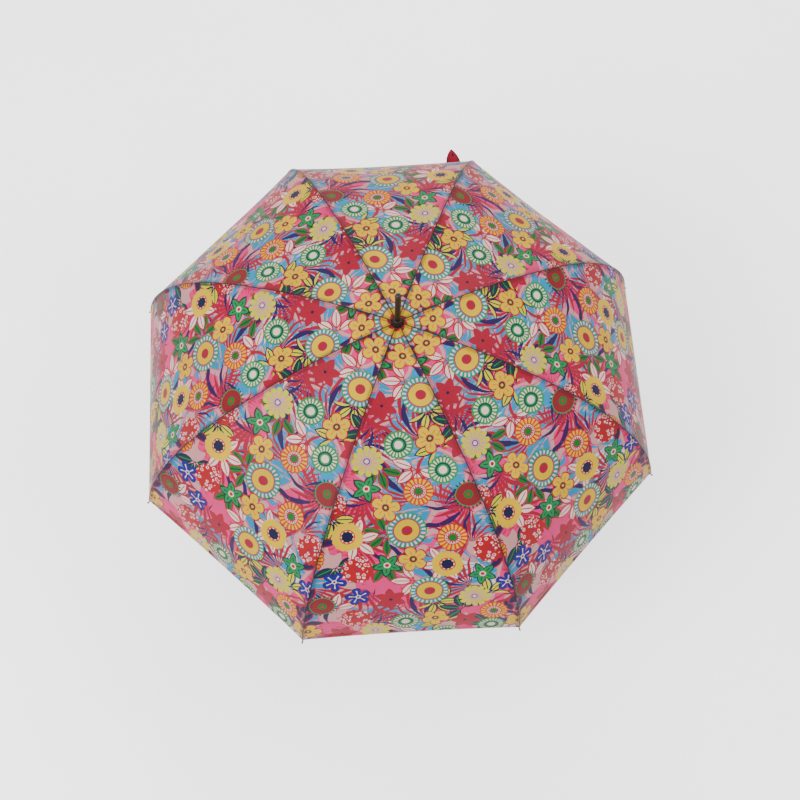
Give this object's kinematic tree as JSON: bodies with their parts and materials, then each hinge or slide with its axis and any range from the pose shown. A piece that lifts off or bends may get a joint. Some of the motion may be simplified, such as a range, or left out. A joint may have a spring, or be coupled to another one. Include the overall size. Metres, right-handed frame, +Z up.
{
  "type": "stick umbrella",
  "caption": "Stick umbrella, open, with a domed printed canopy on steel and glass-fibre ribs, sliding runner, stretchers, spring catches, slim ferrule and crook handle.",
  "frame": {"origin": "on the shaft axis, in the middle of the straight part of the grip", "axes": "+Z up the shaft to the ferrule; +X the way the crook opens; ribs at 22.5 degrees plus multiples of 45 about +Z"},
  "size_m": [0.8648, 0.8968, 0.837],
  "materials": {
    "polished_steel": "polished",
    "black_gloss": "gloss",
    "black_plastic": "satin",
    "spring_steel": "bright",
    "dark_steel": "satin",
    "glass_fibre": "satin",
    "printed_cloth": "woven"
  },
  "bodies": {
    "shaft": {"shaft_tube": "polished_steel", "ferrule": "black_gloss", "ferrule_collar": "black_gloss", "crown": "black_plastic", "crown_wire": "spring_steel", "stop_pin": "spring_steel", "handle": "black_gloss", "handle_collar": "polished_steel", "handle_cap": "polished_steel"},
    "runner": {"runner": "black_plastic"},
    "top_catch": {"top_catch": "spring_steel"},
    "bottom_catch": {"bottom_catch": "spring_steel"},
    "rib_inner_1": {"rib_inner_1": "dark_steel", "canopy_panel_1": "printed_cloth"},
    "rib_outer_1": {"rib_outer_1": "glass_fibre", "rib_tip_1": "dark_steel"},
    "stretcher_1": {"stretcher_1": "dark_steel"},
    "rib_inner_2": {"rib_inner_2": "dark_steel", "canopy_panel_2": "printed_cloth"},
    "rib_outer_2": {"rib_outer_2": "glass_fibre", "rib_tip_2": "dark_steel", "tie_strap": "printed_cloth", "strap_snap": "black_gloss"},
    "stretcher_2": {"stretcher_2": "dark_steel"},
    "rib_inner_3": {"rib_inner_3": "dark_steel", "canopy_panel_3": "printed_cloth"},
    "rib_outer_3": {"rib_outer_3": "glass_fibre", "rib_tip_3": "dark_steel"},
    "stretcher_3": {"stretcher_3": "dark_steel"},
    "rib_inner_4": {"rib_inner_4": "dark_steel", "canopy_panel_4": "printed_cloth"},
    "rib_outer_4": {"rib_outer_4": "glass_fibre", "rib_tip_4": "dark_steel"},
    "stretcher_4": {"stretcher_4": "dark_steel"},
    "rib_inner_5": {"rib_inner_5": "dark_steel", "canopy_panel_5": "printed_cloth"},
    "rib_outer_5": {"rib_outer_5": "glass_fibre", "rib_tip_5": "dark_steel"},
    "stretcher_5": {"stretcher_5": "dark_steel"},
    "rib_inner_6": {"rib_inner_6": "dark_steel", "canopy_panel_6": "printed_cloth"},
    "rib_outer_6": {"rib_outer_6": "glass_fibre", "rib_tip_6": "dark_steel"},
    "stretcher_6": {"stretcher_6": "dark_steel"},
    "rib_inner_7": {"rib_inner_7": "dark_steel", "canopy_panel_7": "printed_cloth"},
    "rib_outer_7": {"rib_outer_7": "glass_fibre", "rib_tip_7": "dark_steel"},
    "stretcher_7": {"stretcher_7": "dark_steel"},
    "rib_inner_8": {"rib_inner_8": "dark_steel", "canopy_panel_8": "printed_cloth"},
    "rib_outer_8": {"rib_outer_8": "glass_fibre", "rib_tip_8": "dark_steel"},
    "stretcher_8": {"stretcher_8": "dark_steel"}
  },
  "joints": [
    {"name": "runner_slide", "type": "slide", "parent": "shaft", "child": "runner", "axis": [0, 0, -1], "range_m": [0, 0.4133]},
    {"name": "top_catch_press", "type": "slide", "parent": "shaft", "child": "top_catch", "axis": [-1, 0, 0], "range_m": [0, 0.0026], "stiffness_N_per_m": 600, "springref_m": -0.001},
    {"name": "bottom_catch_press", "type": "slide", "parent": "shaft", "child": "bottom_catch", "axis": [-1, 0, 0], "range_m": [0, 0.0026], "stiffness_N_per_m": 600, "springref_m": -0.001},
    {"name": "rib_hinge_1", "type": "hinge", "parent": "shaft", "child": "rib_inner_1", "pos_m": [0.01109, 0.00459, 0.64], "axis": [-0.3827, 0.9239, 0], "range_deg": [0, 74.8], "deforming": ["canopy_panel_1"]},
    {"name": "stretcher_hinge_1", "type": "hinge", "parent": "rib_inner_1", "child": "stretcher_1", "pos_m": [0.24443, 0.10125, 0.58976], "axis": [-0.3827, 0.9239, 0], "range_deg": [-149.6, 0]},
    {"name": "rib_flex_1", "type": "hinge", "parent": "rib_inner_1", "child": "rib_outer_1", "pos_m": [0.26878, 0.11133, 0.57816], "axis": [-0.3827, 0.9239, 0], "range_deg": [-37.55, 0]},
    {"name": "rib_hinge_2", "type": "hinge", "parent": "shaft", "child": "rib_inner_2", "pos_m": [0.00459, 0.01109, 0.64], "axis": [-0.9239, 0.3827, 0], "range_deg": [0, 74.8], "deforming": ["canopy_panel_2"]},
    {"name": "stretcher_hinge_2", "type": "hinge", "parent": "rib_inner_2", "child": "stretcher_2", "pos_m": [0.10125, 0.24443, 0.58976], "axis": [-0.9239, 0.3827, 0], "range_deg": [-149.6, 0]},
    {"name": "rib_flex_2", "type": "hinge", "parent": "rib_inner_2", "child": "rib_outer_2", "pos_m": [0.11133, 0.26878, 0.57816], "axis": [-0.9239, 0.3827, 0], "range_deg": [-37.55, 0]},
    {"name": "rib_hinge_3", "type": "hinge", "parent": "shaft", "child": "rib_inner_3", "pos_m": [-0.00459, 0.01109, 0.64], "axis": [-0.9239, -0.3827, 0], "range_deg": [0, 74.8], "deforming": ["canopy_panel_3"]},
    {"name": "stretcher_hinge_3", "type": "hinge", "parent": "rib_inner_3", "child": "stretcher_3", "pos_m": [-0.10125, 0.24443, 0.58976], "axis": [-0.9239, -0.3827, 0], "range_deg": [-149.6, 0]},
    {"name": "rib_flex_3", "type": "hinge", "parent": "rib_inner_3", "child": "rib_outer_3", "pos_m": [-0.11133, 0.26878, 0.57816], "axis": [-0.9239, -0.3827, 0], "range_deg": [-37.55, 0]},
    {"name": "rib_hinge_4", "type": "hinge", "parent": "shaft", "child": "rib_inner_4", "pos_m": [-0.01109, 0.00459, 0.64], "axis": [-0.3827, -0.9239, 0], "range_deg": [0, 74.8], "deforming": ["canopy_panel_4"]},
    {"name": "stretcher_hinge_4", "type": "hinge", "parent": "rib_inner_4", "child": "stretcher_4", "pos_m": [-0.24443, 0.10125, 0.58976], "axis": [-0.3827, -0.9239, 0], "range_deg": [-149.6, 0]},
    {"name": "rib_flex_4", "type": "hinge", "parent": "rib_inner_4", "child": "rib_outer_4", "pos_m": [-0.26878, 0.11133, 0.57816], "axis": [-0.3827, -0.9239, 0], "range_deg": [-37.55, 0]},
    {"name": "rib_hinge_5", "type": "hinge", "parent": "shaft", "child": "rib_inner_5", "pos_m": [-0.01109, -0.00459, 0.64], "axis": [0.3827, -0.9239, 0], "range_deg": [0, 74.8], "deforming": ["canopy_panel_5"]},
    {"name": "stretcher_hinge_5", "type": "hinge", "parent": "rib_inner_5", "child": "stretcher_5", "pos_m": [-0.24443, -0.10125, 0.58976], "axis": [0.3827, -0.9239, 0], "range_deg": [-149.6, 0]},
    {"name": "rib_flex_5", "type": "hinge", "parent": "rib_inner_5", "child": "rib_outer_5", "pos_m": [-0.26878, -0.11133, 0.57816], "axis": [0.3827, -0.9239, 0], "range_deg": [-37.55, 0]},
    {"name": "rib_hinge_6", "type": "hinge", "parent": "shaft", "child": "rib_inner_6", "pos_m": [-0.00459, -0.01109, 0.64], "axis": [0.9239, -0.3827, 0], "range_deg": [0, 74.8], "deforming": ["canopy_panel_6"]},
    {"name": "stretcher_hinge_6", "type": "hinge", "parent": "rib_inner_6", "child": "stretcher_6", "pos_m": [-0.10125, -0.24443, 0.58976], "axis": [0.9239, -0.3827, 0], "range_deg": [-149.6, 0]},
    {"name": "rib_flex_6", "type": "hinge", "parent": "rib_inner_6", "child": "rib_outer_6", "pos_m": [-0.11133, -0.26878, 0.57816], "axis": [0.9239, -0.3827, 0], "range_deg": [-37.55, 0]},
    {"name": "rib_hinge_7", "type": "hinge", "parent": "shaft", "child": "rib_inner_7", "pos_m": [0.00459, -0.01109, 0.64], "axis": [0.9239, 0.3827, 0], "range_deg": [0, 74.8], "deforming": ["canopy_panel_7"]},
    {"name": "stretcher_hinge_7", "type": "hinge", "parent": "rib_inner_7", "child": "stretcher_7", "pos_m": [0.10125, -0.24443, 0.58976], "axis": [0.9239, 0.3827, 0], "range_deg": [-149.6, 0]},
    {"name": "rib_flex_7", "type": "hinge", "parent": "rib_inner_7", "child": "rib_outer_7", "pos_m": [0.11133, -0.26878, 0.57816], "axis": [0.9239, 0.3827, 0], "range_deg": [-37.55, 0]},
    {"name": "rib_hinge_8", "type": "hinge", "parent": "shaft", "child": "rib_inner_8", "pos_m": [0.01109, -0.00459, 0.64], "axis": [0.3827, 0.9239, 0], "range_deg": [0, 74.8], "deforming": ["canopy_panel_8"]},
    {"name": "stretcher_hinge_8", "type": "hinge", "parent": "rib_inner_8", "child": "stretcher_8", "pos_m": [0.24443, -0.10125, 0.58976], "axis": [0.3827, 0.9239, 0], "range_deg": [-149.6, 0]},
    {"name": "rib_flex_8", "type": "hinge", "parent": "rib_inner_8", "child": "rib_outer_8", "pos_m": [0.26878, -0.11133, 0.57816], "axis": [0.3827, 0.9239, 0], "range_deg": [-37.55, 0]}
  ],
  "couplings": [
    {"joint": "rib_hinge_1", "follows": "runner_slide", "rad_per_m": 3.1566},
    {"joint": "stretcher_hinge_1", "follows": "runner_slide", "rad_per_m": -6.3133},
    {"joint": "rib_flex_1", "follows": "runner_slide", "rad_per_m": -1.5836},
    {"joint": "rib_hinge_2", "follows": "runner_slide", "rad_per_m": 3.1566},
    {"joint": "stretcher_hinge_2", "follows": "runner_slide", "rad_per_m": -6.3133},
    {"joint": "rib_flex_2", "follows": "runner_slide", "rad_per_m": -1.5836},
    {"joint": "rib_hinge_3", "follows": "runner_slide", "rad_per_m": 3.1566},
    {"joint": "stretcher_hinge_3", "follows": "runner_slide", "rad_per_m": -6.3133},
    {"joint": "rib_flex_3", "follows": "runner_slide", "rad_per_m": -1.5836},
    {"joint": "rib_hinge_4", "follows": "runner_slide", "rad_per_m": 3.1566},
    {"joint": "stretcher_hinge_4", "follows": "runner_slide", "rad_per_m": -6.3133},
    {"joint": "rib_flex_4", "follows": "runner_slide", "rad_per_m": -1.5836},
    {"joint": "rib_hinge_5", "follows": "runner_slide", "rad_per_m": 3.1566},
    {"joint": "stretcher_hinge_5", "follows": "runner_slide", "rad_per_m": -6.3133},
    {"joint": "rib_flex_5", "follows": "runner_slide", "rad_per_m": -1.5836},
    {"joint": "rib_hinge_6", "follows": "runner_slide", "rad_per_m": 3.1566},
    {"joint": "stretcher_hinge_6", "follows": "runner_slide", "rad_per_m": -6.3133},
    {"joint": "rib_flex_6", "follows": "runner_slide", "rad_per_m": -1.5836},
    {"joint": "rib_hinge_7", "follows": "runner_slide", "rad_per_m": 3.1566},
    {"joint": "stretcher_hinge_7", "follows": "runner_slide", "rad_per_m": -6.3133},
    {"joint": "rib_flex_7", "follows": "runner_slide", "rad_per_m": -1.5836},
    {"joint": "rib_hinge_8", "follows": "runner_slide", "rad_per_m": 3.1566},
    {"joint": "stretcher_hinge_8", "follows": "runner_slide", "rad_per_m": -6.3133},
    {"joint": "rib_flex_8", "follows": "runner_slide", "rad_per_m": -1.5836}
  ]
}
